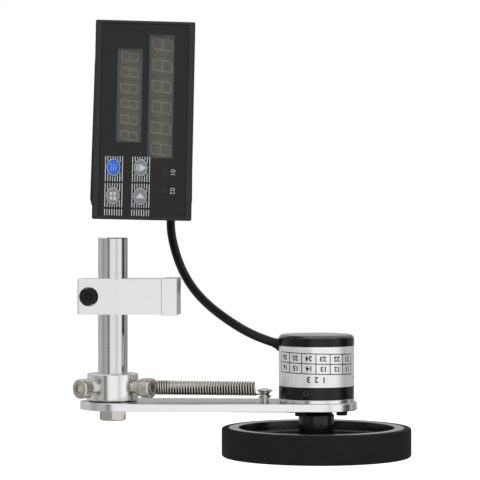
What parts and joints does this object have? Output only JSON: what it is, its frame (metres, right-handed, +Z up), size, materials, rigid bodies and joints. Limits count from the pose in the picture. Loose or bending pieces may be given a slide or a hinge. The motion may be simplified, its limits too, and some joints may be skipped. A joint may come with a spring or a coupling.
{
  "type": "cable length counter",
  "caption": "Cable length counter: a sprung arm presses a measuring wheel with a rotary encoder on the cable, and a panel counter shows the length.",
  "frame": {"origin": "centre of the clamp block's mounting face, between its two threaded holes", "axes": "+X out of the mounting face towards the wheel, +Y to the back, +Z up along the rod"},
  "size_m": [0.1693, 0.1037, 0.215],
  "materials": {
    "machined_aluminium": "fine brushed",
    "polished_steel": "ground and polished",
    "nickel_steel": "nickel plated",
    "spring_wire": "drawn wire, plated",
    "black_steel": "black oxide",
    "black_plastic": "fine matt",
    "label_foil": "satin foil with black print",
    "wheel_rubber": "smooth, satin",
    "wheel_rim": "black anodised, satin",
    "cable_jacket": "smooth, satin",
    "front_print": "printed sheet, light grain",
    "window": "smoked, glossy",
    "digits": "unlit segments",
    "blue_key": "printed rubber",
    "grey_key": "printed rubber",
    "light": "unlit",
    "board": "circuit board",
    "relay": "moulded",
    "bronze": "sintered",
    "terminal_brass": "plated",
    "core_insulation": "smooth"
  },
  "bodies": {
    "counter": {"clamp_block": "machined_aluminium", "clamp_screw": "black_steel", "meter_bezel": "black_plastic", "front_sheet": "front_print", "large_window": "window", "small_window": "window", "large_digits": "digits", "small_digits": "digits", "key_switches": "relay", "alarm_lights": "light", "front_board": "board", "main_board": "board", "alarm_relays": "relay", "transformer": "bronze", "meter_case": "black_plastic", "terminal_block": "black_plastic", "terminal_screws": "terminal_brass", "cable_upper": "cable_jacket", "cable_cores": "core_insulation"},
    "rod": {"mounting_rod": "polished_steel", "collar": "nickel_steel", "left_collar_screw": "nickel_steel", "right_collar_screw": "nickel_steel", "thrust_washer": "polished_steel", "pivot_bolt": "nickel_steel", "bolt_washer": "nickel_steel"},
    "arm": {"pivot_bush": "bronze", "arm_plate": "machined_aluminium", "spring_post": "nickel_steel", "tension_spring": "spring_wire", "encoder_flange": "machined_aluminium", "encoder_housing": "black_plastic", "encoder_label": "label_foil", "encoder_cap": "black_plastic", "encoder_bearings": "polished_steel", "code_reader": "relay", "encoder_board": "board", "encoder_side_screw": "nickel_steel", "encoder_screws": "black_steel", "cable_gland": "black_plastic", "cable_lower": "cable_jacket"},
    "wheel": {"encoder_shaft": "polished_steel", "code_disc": "terminal_brass", "wheel_tyre": "wheel_rubber", "wheel_rim": "wheel_rim", "wheel_hub": "wheel_rim", "hub_grub_screw": "black_steel"},
    "blue_key": {"blue_key": "blue_key"},
    "right_key": {"right_key": "grey_key"},
    "menu_key": {"menu_key": "grey_key"},
    "up_key": {"up_key": "grey_key"},
    "left_clip": {"left_clip": "black_plastic"},
    "right_clip": {"right_clip": "black_plastic"}
  },
  "joints": [
    {"name": "rod_slide", "type": "slide", "parent": "counter", "child": "rod", "axis": [0, 0, 1], "range_m": [-0.02, 0.008], "deforming": ["cable_upper"]},
    {"name": "arm_swing", "type": "hinge", "parent": "rod", "child": "arm", "pos_m": [-0.0335, 0, -0.055], "axis": [0, 0, 1], "range_deg": [-25, 45], "stiffness_Nm_per_rad": 0.12, "deforming": ["tension_spring", "cable_lower"]},
    {"name": "wheel_spin", "type": "hinge", "parent": "arm", "child": "wheel", "pos_m": [0.0695, 0, -0.073], "axis": [0, 0, 1], "continuous": true},
    {"name": "blue_key_press", "type": "slide", "parent": "counter", "child": "blue_key", "axis": [-0.1132, 0.9936, 0], "range_m": [0, 0.0004], "stiffness_N_per_m": 200},
    {"name": "right_key_press", "type": "slide", "parent": "counter", "child": "right_key", "axis": [-0.1132, 0.9936, 0], "range_m": [0, 0.0004], "stiffness_N_per_m": 200},
    {"name": "menu_key_press", "type": "slide", "parent": "counter", "child": "menu_key", "axis": [-0.1132, 0.9936, 0], "range_m": [0, 0.0004], "stiffness_N_per_m": 200},
    {"name": "up_key_press", "type": "slide", "parent": "counter", "child": "up_key", "axis": [-0.1132, 0.9936, 0], "range_m": [0, 0.0004], "stiffness_N_per_m": 200},
    {"name": "left_clip_slide", "type": "slide", "parent": "counter", "child": "left_clip", "axis": [-0.1132, 0.9936, 0], "range_m": [-0.017, 0.025]},
    {"name": "right_clip_slide", "type": "slide", "parent": "counter", "child": "right_clip", "axis": [-0.1132, 0.9936, 0], "range_m": [-0.017, 0.025]}
  ]
}
